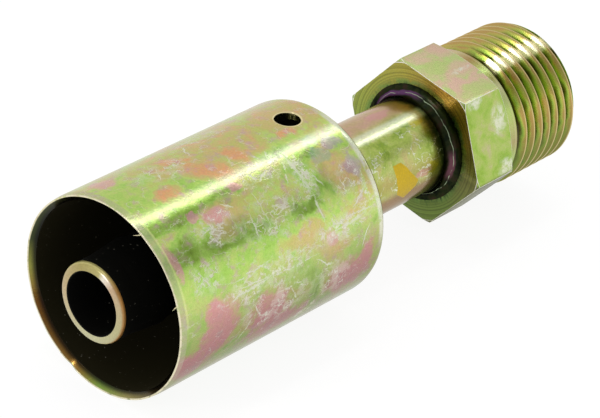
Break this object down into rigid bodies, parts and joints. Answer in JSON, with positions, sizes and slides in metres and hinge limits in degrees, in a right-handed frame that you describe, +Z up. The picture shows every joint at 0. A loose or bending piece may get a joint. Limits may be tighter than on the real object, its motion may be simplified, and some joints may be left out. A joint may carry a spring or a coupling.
{
  "type": "crimp hose fitting",
  "caption": "Steel crimp hose fitting in yellow zinc: a long open ferrule over a barbed hose stem, a plain tube neck, a hexagon and a straight male thread.",
  "frame": {"origin": "on the surface under the ferrule, below the middle of the fitting's length, with the axis of the bore 12.5 mm above it", "axes": "+X along the bore from the ferrule's mouth to the threaded end, +Z up through the sight hole"},
  "size_m": [0.0782, 0.025, 0.025],
  "materials": {
    "ferrule_plating": "yellow zinc plating on drawn steel, glossy, green and gold with pink stains and pale scratches",
    "stem_plating": "yellow zinc plating on steel tube, glossy",
    "threaded_end_plating": "yellow zinc plating on turned steel, with fine turning marks",
    "braze": "dark green and purple plating in the corner"
  },
  "bodies": {
    "root": {"ferrule": "ferrule_plating", "hose_stem": "stem_plating", "threaded_end": "threaded_end_plating", "braze_fillet": "braze"}
  },
  "joints": []
}
